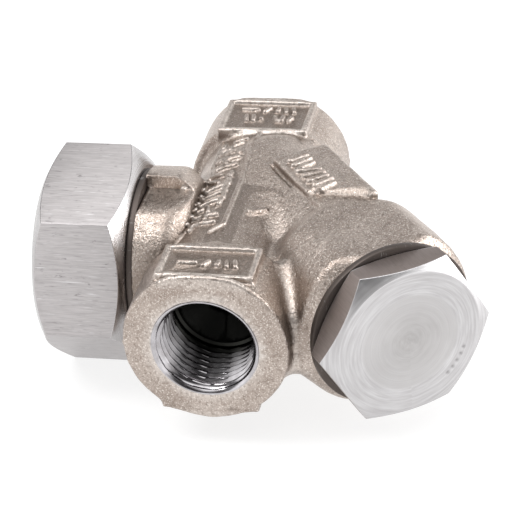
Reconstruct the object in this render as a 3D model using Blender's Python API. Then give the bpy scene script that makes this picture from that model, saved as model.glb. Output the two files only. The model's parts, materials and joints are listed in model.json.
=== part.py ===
"""A bimetallic steam trap with a built-in Y strainer, screwed G 1/2 at both ends.

The casting holds two bores. The trap axis leaves it along -Y: its chamber holds the valve seat and the
stack of bimetal plates under a hexagon cap. The strainer axis leaves it half sideways from the inlet: its
pocket holds the screen, under a smaller hexagon cap. Steam and condensate enter at -X, pass through the
screen and a port into the chamber, and the condensate leaves through the seat to the outlet at +X.

The layout uses one datum, the point where the flow axis and the trap axis cross. Along each axis, heights
are measured from the start of that axis. The whole assembly then stands with the bottom centre of its box
at the world's origin.
"""

import math

import bmesh
import bpy
from mathutils import Matrix, Vector

MM = 0.001
GAP = 0.3 * MM  # left between pieces that touch
FINE_GAP = 0.25 * MM  # left on each side of a flat gasket
FAR = 80 * MM  # longer than any piece, for tools that cut right through
ROUND_STEPS = 48  # sides of a large turned piece
SMALL_STEPS = 24  # sides of a small turned piece

# Flow axis, along +X
OUTLET_REACH = 34.6 * MM
INLET_REACH = 45.4 * MM
BOSS_RADIUS = 16.6 * MM
BOSS_LENGTH = 15 * MM
BOSS_TAPER = 2.5 * MM
BARREL_RADIUS = 14.2 * MM
EDGE_ROUND = 0.8 * MM  # softened corner of the cast ends
SOCKET_RADIUS = 9.3 * MM  # core of the G 1/2 thread
SOCKET_MOUTH_RADIUS = 10.75 * MM
SOCKET_DEPTH = 17 * MM
PASSAGE_RADIUS = 4 * MM
DRILL_SLOPE = math.tan(math.radians(59))  # half of a 118 degree drill point

# Flat pads, above and below each boss, which carry the raised marks
PAD_HALF_WIDTH = 9.85 * MM
PAD_HEIGHT = 14.2 * MM
PAD_BORDER = 1.1 * MM
PAD_BORDER_RISE = 0.55 * MM
OUTLET_PAD = (19.8 * MM, 31.6 * MM)  # start and end along the flow axis
OUTLET_PLATE_BELOW = 34.3 * MM  # the plate of the lower outlet pad runs on nearly to the face
INLET_PAD = (-44.4 * MM, -29.6 * MM)

# Trap axis, along -Y
NECK_RADIUS = 18.8 * MM
NECK_START = 8 * MM
NECK_SHOULDER = 3.2 * MM  # radius of the rounded inner rim
NECK_FACE = 18.2 * MM
CHAMBER_RADIUS = 15.2 * MM
CHAMBER_FLOOR = 10.5 * MM
SEAT_BORE_RADIUS = 5.2 * MM
DISCHARGE_RADIUS = 3.9 * MM
DISCHARGE_TOP = 3.9 * MM
DISCHARGE_BOTTOM = -1.5 * MM
PORT_RADIUS = 2.4 * MM
PORT_OFFSET = 10.2 * MM

# Trap cap
TRAP_FLATS = 41 * MM
TRAP_HEX_TURN = math.radians(-15.8)
TRAP_CAP_UNDERSIDE = 19.6 * MM
TRAP_CAP_FACE = 39 * MM
TRAP_CHAMFER_FOOT = 18.9 * MM
TRAP_PLUG_RADIUS = 14.9 * MM
TRAP_PLUG_END = 12.4 * MM
TRAP_RECESS_RADIUS = 12.6 * MM
TRAP_RECESS_TOP = 34 * MM

# Valve and its seat
SEAT_FLATS = 14 * MM
SEAT_FOOT_RADIUS = 4.9 * MM
SEAT_FOOT = 4.3 * MM
SEAT_FLANGE_HEIGHT = 2.5 * MM
SEAT_GASKET_HEIGHT = 0.8 * MM
SEAT_GASKET_RADIUS = 6.8 * MM
ORIFICE_RADIUS = 2.2 * MM
BALL_RADIUS = 2.6 * MM
VALVE_LIFT = 1 * MM
SHUT_GAP = 0.1 * MM  # left between ball and seat when the valve is shut
STEM_NECK_RADIUS = 1.2 * MM
STEM_RADIUS = 1.9 * MM

# Bimetal stack
PLATE_COUNT = 10
PLATE_THICKNESS = 0.7 * MM
PLATE_RADIUS = 11.6 * MM
PLATE_HOLE_RADIUS = STEM_RADIUS + GAP
TOP_WASHER_RADIUS = 6 * MM
TOP_WASHER_THICKNESS = 0.8 * MM
NUT_FLATS = 8 * MM
ADJUSTING_NUT_HEIGHT = 2.5 * MM
LOCK_NUT_HEIGHT = 2 * MM
STEM_END_MARGIN = 0.8 * MM

# Strainer axis, half way between +X and +Y in the plane of the other two axes
STRAINER_START = -27.8 * MM
STRAINER_ANGLE = math.radians(35)
BRANCH_RADIUS = 15.5 * MM
BRANCH_START = 4 * MM
COLLAR_RADIUS = 18.8 * MM
COLLAR_START = 43 * MM
COLLAR_FACE = 60 * MM
COLLAR_BEVEL = 2 * MM
THROAT_RADIUS = 7.8 * MM
POCKET_RADIUS = 10.4 * MM
POCKET_LEDGE = 12 * MM
COLLAR_BORE_RADIUS = 13.2 * MM
COLLAR_BORE_FLOOR = 50 * MM

# Strainer cap
STRAINER_FLATS = 32 * MM
STRAINER_HEX_TURN = math.radians(30)
STRAINER_CAP_UNDERSIDE = 61.6 * MM
STRAINER_CAP_FACE = 68.7 * MM
STRAINER_FACE_RADIUS = 15.2 * MM
STRAINER_PLUG_RADIUS = 12.9 * MM
STRAINER_PLUG_END = 51.5 * MM
STRAINER_RECESS_RADIUS = 10.2 * MM
STRAINER_RECESS_TOP = 57.5 * MM

# Screen
SCREEN_RADIUS = 8.9 * MM
SCREEN_WALL = 0.5 * MM
SCREEN_COLUMNS = 24
SCREEN_ROWS = 13
RING_WALL = 0.7 * MM
RING_HEIGHT = 3 * MM

# Thin rings that seal the caps
GASKET_OVERHANG = 0.6 * MM  # how far a gasket stays inside the edge of the face that it seals

CHAMFER_SLOPE = math.tan(math.radians(30))

STEEL_CASTING = ("cast_stainless", (0.52, 0.48, 0.42), 0.42, 1.0)
STEEL_BAR = ("bright_bar", (0.66, 0.65, 0.63), 0.28, 1.0)
STEEL_DARK = ("dark_bar", (0.40, 0.39, 0.38), 0.25, 1.0)
GASKET = ("gasket", (0.10, 0.10, 0.10), 0.55, 0.3)
STEEL_VALVE = ("hardened_steel", (0.58, 0.58, 0.57), 0.22, 1.0)
BIMETAL = ("bimetal", (0.50, 0.44, 0.34), 0.38, 1.0)
SCREEN_STEEL = ("screen_steel", (0.60, 0.60, 0.58), 0.35, 1.0)


def clear_scene():
    for thing in list(bpy.data.objects):
        bpy.data.objects.remove(thing, do_unlink=True)


def finish_of(look):
    """The Principled material of one look, made once."""
    name, colour, roughness, metallic = look
    found = bpy.data.materials.get(name)
    if found:
        return found
    made = bpy.data.materials.new(name)
    made.use_nodes = True
    shader = made.node_tree.nodes["Principled BSDF"]
    shader.inputs["Base Color"].default_value = (*colour, 1)
    shader.inputs["Roughness"].default_value = roughness
    shader.inputs["Metallic"].default_value = metallic
    return made


def axis_empty(name, place, along, across, parent=None):
    """An empty whose local Z runs along one direction and whose local X runs across it."""
    empty = bpy.data.objects.new(name, None)
    bpy.context.scene.collection.objects.link(empty)
    side = along.cross(across)
    turn = Matrix((across, side, along)).transposed().to_4x4()
    empty.matrix_local = Matrix.Translation(place) @ turn
    empty.parent = parent
    return empty


def object_of(name, shape, parent, look=None):
    """An object made from a bmesh. With no look it is a tool, which isn't part of the model."""
    bmesh.ops.recalc_face_normals(shape, faces=shape.faces)
    mesh = bpy.data.meshes.new(name)
    shape.to_mesh(mesh)
    shape.free()
    mesh.shade_smooth()
    mesh.set_sharp_from_angle(angle=math.radians(30))
    thing = bpy.data.objects.new(name, mesh)
    bpy.context.scene.collection.objects.link(thing)
    thing.parent = parent
    if look:
        mesh.materials.append(finish_of(look))
    else:
        thing.hide_render = True
        thing.display_type = "WIRE"
    return thing


def turned(name, outline, parent, look=None, steps=ROUND_STEPS):
    """A solid spun about local Z from an outline of (radius, height) points. An outline that starts and ends
    on the axis makes a plug, and any other is closed into a ring."""
    shape = bmesh.new()
    points = [shape.verts.new((radius, 0, height)) for radius, height in outline]
    closed = outline[0][0] > 0
    ends = points[1:] + points[:1] if closed else points[1:]
    edges = [shape.edges.new(pair) for pair in zip(points, ends)]
    bmesh.ops.spin(
        shape, geom=points + edges, cent=(0, 0, 0), axis=(0, 0, 1), angle=math.tau, steps=steps, use_duplicate=False
    )
    bmesh.ops.remove_doubles(shape, verts=shape.verts, dist=0.001 * MM)
    return object_of(name, shape, parent, look)


def ring(name, inner, outer, low, high, parent, look, steps=ROUND_STEPS):
    return turned(name, [(inner, low), (outer, low), (outer, high), (inner, high)], parent, look, steps)


def block(name, low, high, parent):
    """A box tool between two corners."""
    shape = bmesh.new()
    low, high = Vector(low), Vector(high)
    bmesh.ops.create_cube(shape, size=1)
    bmesh.ops.transform(
        shape, matrix=Matrix.Translation((low + high) / 2) @ Matrix.Diagonal((*(high - low), 1)), verts=shape.verts
    )
    return object_of(name, shape, parent)


def hexagon(name, flats, turn, parent):
    """A long hexagonal tool about local Z, with its first corner turned from local X."""
    shape = bmesh.new()
    bmesh.ops.create_cone(
        shape, cap_ends=True, segments=6, radius1=corner_radius(flats), radius2=corner_radius(flats), depth=2 * FAR
    )
    from_y_axis = turn - math.radians(90)  # a new cone has its first corner on local Y
    bmesh.ops.rotate(shape, verts=shape.verts, matrix=Matrix.Rotation(from_y_axis, 3, "Z"))
    return object_of(name, shape, parent)


def corner_radius(flats):
    return flats / 2 / math.cos(math.radians(30))


def combine(target, tool, operation):
    modifier = target.modifiers.new(f"{operation.lower()}_{tool.name}", "BOOLEAN")
    modifier.operation = operation
    modifier.object = tool


# ---- the casting ----


def flow_blank(axis):
    """The barrel and its two bosses, which make the casting's base."""
    low, high = -INLET_REACH, OUTLET_REACH
    boss_foot = BOSS_LENGTH + BOSS_TAPER
    outline = [
        (0, low),
        (BOSS_RADIUS - EDGE_ROUND, low),
        (BOSS_RADIUS, low + EDGE_ROUND),
        (BOSS_RADIUS, low + BOSS_LENGTH),
        (BARREL_RADIUS, low + boss_foot),
        (BARREL_RADIUS, high - boss_foot),
        (BOSS_RADIUS, high - BOSS_LENGTH),
        (BOSS_RADIUS, high - EDGE_ROUND),
        (BOSS_RADIUS - EDGE_ROUND, high),
        (0, high),
    ]
    return turned("body", outline, axis, STEEL_CASTING)


def neck_blank(axis):
    """The drum around the trap chamber, with a rounded shoulder where it leaves the barrel."""
    middle = NECK_RADIUS - NECK_SHOULDER
    arc = [
        (middle + NECK_SHOULDER * math.sin(turn), NECK_START + NECK_SHOULDER * (1 - math.cos(turn)))
        for turn in (math.radians(90) * step / 4 for step in range(5))
    ]
    root = BARREL_RADIUS - EDGE_ROUND
    outline = [(0, 0), (root, 0), (root, NECK_START), *arc]
    outline += [(NECK_RADIUS, NECK_FACE - EDGE_ROUND / 2), (NECK_RADIUS - EDGE_ROUND / 2, NECK_FACE), (0, NECK_FACE)]
    return turned("neck_blank", outline, axis)


def branch_blank(axis):
    """The strainer branch, which widens into the collar that holds the strainer cap."""
    outline = [
        (0, BRANCH_START),
        (BRANCH_RADIUS, BRANCH_START),
        (BRANCH_RADIUS, COLLAR_START - BOSS_TAPER),
        (COLLAR_RADIUS, COLLAR_START),
        (COLLAR_RADIUS, COLLAR_FACE - COLLAR_BEVEL),
        (COLLAR_RADIUS - COLLAR_BEVEL, COLLAR_FACE),
        (0, COLLAR_FACE),
    ]
    return turned("branch_blank", outline, axis)


def add_pad(casting, datum, start, end, up, plate_end):
    """One flat pad with a raised border. It squares off the boss, on its upper side or its lower side."""
    top = PAD_HEIGHT + PAD_BORDER_RISE

    def slab(role, inset, slab_end, bottom, height):
        low, high = sorted((up * bottom, up * height))
        side = PAD_HALF_WIDTH - inset
        corners = (start + inset, -side, low), (slab_end - inset, side, high)
        return block(f"pad_{role}_{start / MM:.0f}_{up}", *corners, datum)

    combine(casting, slab("plate", 0, plate_end, 0, top), "UNION")
    combine(casting, slab("crown_cut", 0, end, top, 2 * top), "DIFFERENCE")
    combine(casting, slab("recess", PAD_BORDER, end, PAD_HEIGHT, 2 * top), "DIFFERENCE")


def outlet_bore(axis):
    face, bottom = OUTLET_REACH, OUTLET_REACH - SOCKET_DEPTH
    point = (SOCKET_RADIUS - PASSAGE_RADIUS) / DRILL_SLOPE
    mouth = SOCKET_MOUTH_RADIUS - SOCKET_RADIUS
    outline = [
        (0, 0),
        (PASSAGE_RADIUS, 0),
        (PASSAGE_RADIUS, bottom - point),
        (SOCKET_RADIUS, bottom),
        (SOCKET_RADIUS, face - mouth),
        (SOCKET_MOUTH_RADIUS, face),
        (SOCKET_MOUTH_RADIUS, face + mouth),
        (0, face + mouth),
    ]
    return turned("outlet_bore", outline, axis)


def inlet_bore(axis):
    face, bottom = -INLET_REACH, SOCKET_DEPTH - INLET_REACH
    point = SOCKET_RADIUS / DRILL_SLOPE
    mouth = SOCKET_MOUTH_RADIUS - SOCKET_RADIUS
    outline = [
        (0, face - mouth),
        (SOCKET_MOUTH_RADIUS, face - mouth),
        (SOCKET_MOUTH_RADIUS, face),
        (SOCKET_RADIUS, face + mouth),
        (SOCKET_RADIUS, bottom),
        (0, bottom + point),
    ]
    return turned("inlet_bore", outline, axis)


def strainer_bore(axis):
    """The throat from the inlet, the ledge that the screen stands on, the pocket and the cap's thread."""
    outline = [
        (0, -THROAT_RADIUS / 2),
        (THROAT_RADIUS, 0),
        (THROAT_RADIUS, POCKET_LEDGE),
        (POCKET_RADIUS, POCKET_LEDGE),
        (POCKET_RADIUS, COLLAR_BORE_FLOOR),
        (COLLAR_BORE_RADIUS, COLLAR_BORE_FLOOR),
        (COLLAR_BORE_RADIUS, COLLAR_FACE + COLLAR_BEVEL),
        (0, COLLAR_FACE + COLLAR_BEVEL),
    ]
    return turned("strainer_bore", outline, axis)


def chamber_bore(axis):
    """The chamber, the seat's threaded hole in its floor and the discharge hole below the seat."""
    outline = [
        (0, DISCHARGE_BOTTOM),
        (DISCHARGE_RADIUS, DISCHARGE_BOTTOM),
        (DISCHARGE_RADIUS, DISCHARGE_TOP),
        (SEAT_BORE_RADIUS, DISCHARGE_TOP),
        (SEAT_BORE_RADIUS, CHAMBER_FLOOR),
        (CHAMBER_RADIUS, CHAMBER_FLOOR),
        (CHAMBER_RADIUS, NECK_FACE + COLLAR_BEVEL),
        (0, NECK_FACE + COLLAR_BEVEL),
    ]
    return turned("chamber_bore", outline, axis)


def transfer_port(axis):
    """The drilled port from the strainer pocket, outside the screen, up through the chamber's floor."""
    shape = bmesh.new()
    length = 2 * CHAMBER_FLOOR
    bmesh.ops.create_cone(
        shape, cap_ends=True, segments=SMALL_STEPS, radius1=PORT_RADIUS, radius2=PORT_RADIUS, depth=length
    )
    centre = (-PORT_OFFSET, 0, CHAMBER_FLOOR - length / 2 + GAP)
    bmesh.ops.translate(shape, verts=shape.verts, vec=centre)
    return object_of("transfer_port", shape, axis)


def make_body(datum, flow, trap, strainer):
    casting = flow_blank(flow)
    combine(casting, neck_blank(trap), "UNION")
    combine(casting, branch_blank(strainer), "UNION")
    for up, plate_end in ((1, OUTLET_PAD[1]), (-1, OUTLET_PLATE_BELOW)):
        add_pad(casting, datum, *OUTLET_PAD, up, plate_end)
        add_pad(casting, datum, *INLET_PAD, up, INLET_PAD[1])
    for tool in (outlet_bore(flow), inlet_bore(flow), chamber_bore(trap), transfer_port(trap), strainer_bore(strainer)):
        combine(casting, tool, "DIFFERENCE")


# ---- the trap cap, the seat and the bimetal element ----


def make_trap_cap(axis, gasket_axis):
    """A hexagon cap, chamfered at both ends, whose hollow plug screws into the neck."""
    corner = corner_radius(TRAP_FLATS)
    chamfer = (corner - TRAP_CHAMFER_FOOT) * CHAMFER_SLOPE
    outline = [
        (0, TRAP_RECESS_TOP),
        (TRAP_RECESS_RADIUS, TRAP_RECESS_TOP),
        (TRAP_RECESS_RADIUS, TRAP_PLUG_END),
        (TRAP_PLUG_RADIUS, TRAP_PLUG_END),
        (TRAP_PLUG_RADIUS, TRAP_CAP_UNDERSIDE),
        (TRAP_CHAMFER_FOOT, TRAP_CAP_UNDERSIDE),
        (corner, TRAP_CAP_UNDERSIDE + chamfer),
        (corner, TRAP_CAP_FACE - chamfer),
        (TRAP_CHAMFER_FOOT, TRAP_CAP_FACE),
        (0, TRAP_CAP_FACE),
    ]
    cap = turned("trap_cap", outline, axis, STEEL_BAR)
    combine(cap, hexagon("trap_hexagon", TRAP_FLATS, TRAP_HEX_TURN, axis), "INTERSECT")
    low, high = NECK_FACE + FINE_GAP, TRAP_CAP_UNDERSIDE - FINE_GAP
    outer = NECK_RADIUS - GASKET_OVERHANG
    ring("trap_cap_gasket", TRAP_PLUG_RADIUS + GAP, outer, low, high, gasket_axis, GASKET)


def make_seat(axis):
    """The screwed seat and its joint ring. Returns the height of the seat's top."""
    gasket_low = CHAMBER_FLOOR + GAP
    gasket_high = gasket_low + SEAT_GASKET_HEIGHT
    ring("seat_gasket", SEAT_BORE_RADIUS + GAP, SEAT_GASKET_RADIUS, gasket_low, gasket_high, axis, GASKET, SMALL_STEPS)
    flange_low = gasket_high + GAP
    top = flange_low + SEAT_FLANGE_HEIGHT
    flange_radius = corner_radius(SEAT_FLATS)
    outline = [
        (ORIFICE_RADIUS, SEAT_FOOT),
        (SEAT_FOOT_RADIUS, SEAT_FOOT),
        (SEAT_FOOT_RADIUS, flange_low),
        (flange_radius, flange_low),
        (flange_radius, top),
        (ORIFICE_RADIUS, top),
    ]
    seat = turned("valve_seat", outline, axis, STEEL_VALVE, SMALL_STEPS)
    combine(seat, hexagon("seat_hexagon", SEAT_FLATS, 0, axis), "INTERSECT")
    return top


def make_plates(pair_axes, base):
    """The bimetal plates, laid in pairs. Returns the height of the stack's top."""
    for count in range(PLATE_COUNT):
        low = base + GAP + count * (PLATE_THICKNESS + GAP)
        pair = pair_axes[count // 2]
        name = f"bimetal_plate_{count + 1:02d}"
        ring(name, PLATE_HOLE_RADIUS, PLATE_RADIUS, low, low + PLATE_THICKNESS, pair, BIMETAL, SMALL_STEPS)
    return low + PLATE_THICKNESS


def make_stem(axis, neck_top, top):
    """The valve stem: a ball below the seat, a thin neck through the orifice and a thread at the top."""
    ball_centre = SEAT_FOOT - math.sqrt(BALL_RADIUS**2 - ORIFICE_RADIUS**2) - SHUT_GAP - VALVE_LIFT
    last_turn = math.acos(STEM_NECK_RADIUS / BALL_RADIUS)
    first_turn = math.radians(-90)
    arc_steps = 10
    turns = (first_turn + (last_turn - first_turn) * step / arc_steps for step in range(arc_steps + 1))
    ball = [(BALL_RADIUS * math.cos(turn), ball_centre + BALL_RADIUS * math.sin(turn)) for turn in turns]
    ball[0] = (0, ball_centre - BALL_RADIUS)
    shank = [(STEM_NECK_RADIUS, neck_top), (STEM_RADIUS, neck_top), (STEM_RADIUS, top - EDGE_ROUND / 2)]
    end = [(STEM_RADIUS - EDGE_ROUND / 2, top), (0, top)]
    turned("valve_stem", ball + shank + end, axis, STEEL_VALVE, SMALL_STEPS)


def make_nut(name, axis, low, height):
    """A chamfered hexagon nut on the stem."""
    corner = corner_radius(NUT_FLATS)
    chamfer = (corner - NUT_FLATS / 2) * CHAMFER_SLOPE
    outline = [
        (PLATE_HOLE_RADIUS, low),
        (NUT_FLATS / 2, low),
        (corner, low + chamfer),
        (corner, low + height - chamfer),
        (NUT_FLATS / 2, low + height),
        (PLATE_HOLE_RADIUS, low + height),
    ]
    nut = turned(name, outline, axis, STEEL_VALVE, SMALL_STEPS)
    combine(nut, hexagon(f"{name}_hexagon", NUT_FLATS, 0, axis), "INTERSECT")
    return low + height


def make_element(valve_axis, pair_axes, seat_top):
    stack_top = make_plates(pair_axes, seat_top)
    washer_low = stack_top + GAP
    washer_top = washer_low + TOP_WASHER_THICKNESS
    ring(
        "top_washer", PLATE_HOLE_RADIUS, TOP_WASHER_RADIUS, washer_low, washer_top, valve_axis, STEEL_VALVE, SMALL_STEPS
    )
    adjusting_top = make_nut("adjusting_nut", valve_axis, washer_top + GAP, ADJUSTING_NUT_HEIGHT)
    lock_top = make_nut("lock_nut", valve_axis, adjusting_top + GAP, LOCK_NUT_HEIGHT)
    make_stem(valve_axis, seat_top + GAP, lock_top + STEM_END_MARGIN)


# ---- the strainer cap and the screen ----


def make_strainer_cap(axis, carrier):
    """A lower hexagon cap, chamfered at its face, whose plug also holds the end of the screen."""
    corner = corner_radius(STRAINER_FLATS)
    chamfer = (corner - STRAINER_FACE_RADIUS) * CHAMFER_SLOPE
    outline = [
        (0, STRAINER_RECESS_TOP),
        (STRAINER_RECESS_RADIUS, STRAINER_RECESS_TOP),
        (STRAINER_RECESS_RADIUS, STRAINER_PLUG_END),
        (STRAINER_PLUG_RADIUS, STRAINER_PLUG_END),
        (STRAINER_PLUG_RADIUS, STRAINER_CAP_UNDERSIDE),
        (corner, STRAINER_CAP_UNDERSIDE),
        (corner, STRAINER_CAP_FACE - chamfer),
        (STRAINER_FACE_RADIUS, STRAINER_CAP_FACE),
        (0, STRAINER_CAP_FACE),
    ]
    cap = turned("strainer_cap", outline, axis, STEEL_DARK)
    combine(cap, hexagon("strainer_hexagon", STRAINER_FLATS, STRAINER_HEX_TURN, axis), "INTERSECT")
    low, high = COLLAR_FACE + FINE_GAP, STRAINER_CAP_UNDERSIDE - FINE_GAP
    outer = COLLAR_RADIUS - COLLAR_BEVEL + GASKET_OVERHANG
    ring("strainer_cap_gasket", STRAINER_PLUG_RADIUS + GAP, outer, low, high, carrier, GASKET)


def make_screen(axis):
    """A rolled sheet with square holes: every second cell of a grid is open, then the sheet is thickened."""
    low, high = POCKET_LEDGE + GAP, STRAINER_RECESS_TOP - GAP
    middle = SCREEN_RADIUS - SCREEN_WALL / 2
    shape = bmesh.new()
    grid = []
    for row in range(SCREEN_ROWS + 1):
        height = low + (high - low) * row / SCREEN_ROWS
        turns = (math.tau * column / SCREEN_COLUMNS for column in range(SCREEN_COLUMNS))
        grid.append([shape.verts.new((middle * math.cos(turn), middle * math.sin(turn), height)) for turn in turns])
    for row in range(SCREEN_ROWS):
        for column in range(SCREEN_COLUMNS):
            after = (column + 1) % SCREEN_COLUMNS
            if not (row % 2 and column % 2):
                shape.faces.new((grid[row][column], grid[row][after], grid[row + 1][after], grid[row + 1][column]))
    screen = object_of("strainer_screen", shape, axis, SCREEN_STEEL)
    wall = screen.modifiers.new("sheet", "SOLIDIFY")
    wall.thickness = SCREEN_WALL
    wall.offset = 0
    inner = SCREEN_RADIUS + GAP
    for name, start in (("screen_inlet_ring", low), ("screen_cap_ring", high - RING_HEIGHT)):
        ring(name, inner, inner + RING_WALL, start, start + RING_HEIGHT, axis, SCREEN_STEEL, SMALL_STEPS)


# ---- the assembly ----


def stand_on_origin(datum):
    """Moves the datum so that the bottom centre of the whole box is the world's origin."""
    bpy.context.view_layer.update()
    graph = bpy.context.evaluated_depsgraph_get()
    points = []
    for thing in bpy.data.objects:
        if thing.type == "MESH" and not thing.hide_render:
            solid = thing.evaluated_get(graph)
            points += [solid.matrix_world @ vertex.co for vertex in solid.data.vertices]
    low = Vector(min(point[side] for point in points) for side in range(3))
    high = Vector(max(point[side] for point in points) for side in range(3))
    datum.location -= Vector(((low.x + high.x) / 2, (low.y + high.y) / 2, low.z))


def main():
    clear_scene()
    x_axis, y_axis, z_axis = Vector((1, 0, 0)), Vector((0, 1, 0)), Vector((0, 0, 1))
    along_strainer = Vector((math.cos(STRAINER_ANGLE), math.sin(STRAINER_ANGLE), 0))
    start = Vector((STRAINER_START, 0, 0))
    here = Vector((0, 0, 0))

    datum = axis_empty("datum", here, z_axis, x_axis)
    flow = axis_empty("flow_axis", here, x_axis, z_axis, datum)
    trap = axis_empty("trap_axis", here, -y_axis, x_axis, datum)
    strainer = axis_empty("strainer_axis", start, along_strainer, z_axis, datum)
    make_body(datum, flow, trap, strainer)

    trap_lift = axis_empty("trap_cap_lift", here, -y_axis, x_axis, datum)
    trap_turn = axis_empty("trap_cap_turn", here, z_axis, x_axis, trap_lift)
    make_trap_cap(trap_turn, trap_lift)

    seat_top = make_seat(trap)
    valve_lift = axis_empty("valve_lift", here, -y_axis, x_axis, datum)
    pairs = range(1, PLATE_COUNT // 2 + 1)
    pair_lifts = [axis_empty(f"bimetal_pair_{pair}_lift", here, -y_axis, x_axis, datum) for pair in pairs]
    make_element(valve_lift, pair_lifts, seat_top)

    strainer_lift = axis_empty("strainer_cap_lift", start, along_strainer, z_axis, datum)
    strainer_turn = axis_empty("strainer_cap_turn", here, z_axis, x_axis, strainer_lift)
    make_strainer_cap(strainer_turn, strainer_lift)
    make_screen(strainer_lift)

    stand_on_origin(datum)


main()
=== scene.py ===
"""The looks of the steam trap: a cast stainless body with threaded sockets, two hexagon caps and the valve
element inside, on a white floor in a soft white studio.

Every shape is laid out in millimetres. The casting is drawn around the datum, the point where the flow axis
and the trap axis cross, and each turned piece is drawn about its own axis, along local Z. The datum, the axes
and the reach of each piece come from the frame.
"""

import itertools
import json
import math
import random

import bmesh
import bpy
import numpy as np
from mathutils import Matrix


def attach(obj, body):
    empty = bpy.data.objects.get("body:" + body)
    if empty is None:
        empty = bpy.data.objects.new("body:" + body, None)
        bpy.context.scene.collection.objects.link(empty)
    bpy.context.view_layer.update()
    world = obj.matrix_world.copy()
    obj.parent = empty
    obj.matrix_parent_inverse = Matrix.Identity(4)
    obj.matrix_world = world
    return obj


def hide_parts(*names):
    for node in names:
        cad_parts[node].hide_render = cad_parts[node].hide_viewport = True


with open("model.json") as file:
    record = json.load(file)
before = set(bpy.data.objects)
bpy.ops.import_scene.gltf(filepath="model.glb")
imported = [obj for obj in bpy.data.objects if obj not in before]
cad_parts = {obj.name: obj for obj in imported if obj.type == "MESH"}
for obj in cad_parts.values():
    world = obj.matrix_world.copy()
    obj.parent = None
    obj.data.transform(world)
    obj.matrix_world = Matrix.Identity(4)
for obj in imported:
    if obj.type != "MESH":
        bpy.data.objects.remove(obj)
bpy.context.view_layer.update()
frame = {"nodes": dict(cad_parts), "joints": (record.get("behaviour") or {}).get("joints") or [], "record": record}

import openvdb
from mathutils import Matrix, Vector

MM = 0.001
JOINTS = {joint["name"]: joint for joint in frame["joints"]}
BODY_OF = {node: body for body, nodes in frame["record"]["behaviour"]["bodies"].items() for node in nodes}

UP = Vector((0, 0, 1))
FLOW_ALONG = Vector((1, 0, 0))
DATUM = Vector(JOINTS["trap_cap_turn"]["pos_m"])
TRAP_ALONG = Vector(JOINTS["trap_cap_turn"]["axis"]).normalized()
STRAINER_FOOT = Vector(JOINTS["strainer_cap_turn"]["pos_m"])
STRAINER_ALONG = Vector(JOINTS["strainer_cap_turn"]["axis"]).normalized()


def axis_frame(foot, along, across):
    """The place of an axis: local Z runs along it and local X runs across it."""
    return Matrix.Translation(foot) @ Matrix((across, along.cross(across), along)).transposed().to_4x4()


TRAP_AXIS = axis_frame(DATUM, TRAP_ALONG, FLOW_ALONG)
STRAINER_AXIS = axis_frame(STRAINER_FOOT, STRAINER_ALONG, UP)


def node_points(node, place):
    """The points of a CAD node in an axis's own coordinates, in millimetres."""
    inverse = place.inverted()
    return np.array([inverse @ vertex.co for vertex in frame["nodes"][node].data.vertices]) / MM


def reach_of(node, place):
    """Least and greatest height of a CAD node along an axis, then its least and greatest radius."""
    points = node_points(node, place)
    radius = np.hypot(points[:, 0], points[:, 1])
    return points[:, 2].min(), points[:, 2].max(), radius.min(), radius.max()


# Reach of the casting and the caps, read from the frame
INLET_FACE, OUTLET_FACE = reach_of("body", axis_frame(DATUM, FLOW_ALONG, UP))[:2]
NECK_FACE = reach_of("body", TRAP_AXIS)[1]
COLLAR_FACE = reach_of("body", STRAINER_AXIS)[1]
STRAINER_START = (STRAINER_FOOT - DATUM).x / MM
TRAP_PLUG_END, TRAP_CAP_FACE = reach_of("trap_cap", TRAP_AXIS)[:2]
STRAINER_PLUG_END, STRAINER_CAP_FACE = reach_of("strainer_cap", STRAINER_AXIS)[:2]

# The casting's drums
BOSS_RADIUS, BOSS_LENGTH, BOSS_FILLET, BARREL_RADIUS = 16.6, 15.2, 2.2, 14.2
NECK_RADIUS, NECK_START, NECK_CHAMFER, NECK_FILLET = 18.8, 7.8, 3.3, 0.8
COLLAR_RADIUS, COLLAR_START, COLLAR_BEVEL, COLLAR_FILLET = 18.8, 37.5, 2.4, 7
BRANCH_RADIUS = 15.5
CROTCH_HEIGHTS, CROTCH_FILLETS = (-9, -2), (10, 3.2)  # the casting fills the corners more on its lower half
PARTING_RISE, PARTING_WIDTH = 0.16, 0.4

# Pads above and below the bosses
PAD_HALF_WIDTH, PAD_HEIGHT = 9.85, 14.05  # height of the recessed floor over the flow axis
PAD_RISE, PAD_BORDER = 0.8, 1.2  # height of the border over the floor, and its width
PAD_BACK, PAD_GROOVE = 4, 0.6  # how far behind a pad the boss is cut down, and the depth of a groove past it
OUTLET_PAD, INLET_PAD = (19.8, 31.6), (-44.4, -29.6)  # start and end along the flow axis
OUTLET_PLATE_BELOW = 34.3  # end of the plate of the outlet's lower pad
OUTLET_LIP, OUTLET_CROWN = 32.7, 16.1  # from here on the outlet boss is round again, up to this height
FACE_ROUND = 1.4

# The casting's mesh and skin
CAST_VOXEL = 0.36
CAST_TRIANGLES = 190000
CREASE_REACH = 5.0  # how far out a point looks to see whether it lies in a crease
EDGE_REACH = 0.9  # how far in it looks to see whether it lies on an edge or a raised mark
OPEN_SHARE, CREASE_GAIN = 0.92, 1.25  # below this share of open space a crease starts, and how fast it grows
THICK_SHARE, EDGE_GAIN = 0.95, 1.6  # below this share of metal an edge starts, and how fast it grows
# painted shade: the next number sets how strongly a pad's floor takes the painted crease shade
RECESS_SHADE = 0.6  # how strongly a pad's floor is tinted like a crease
SKIN_LUMPS = ((0.10, 6.0), (0.06, 2.3), (0.035, 1.1))  # height and size of each kind of unevenness
SOCKET_GLOOM = 14  # depth at which a socket's wall is at its darkest
THREAD_LIT, THREAD_GLOOM = 2.5, 12  # depth to which a socket's thread is bright, and how far on it darkens

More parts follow.
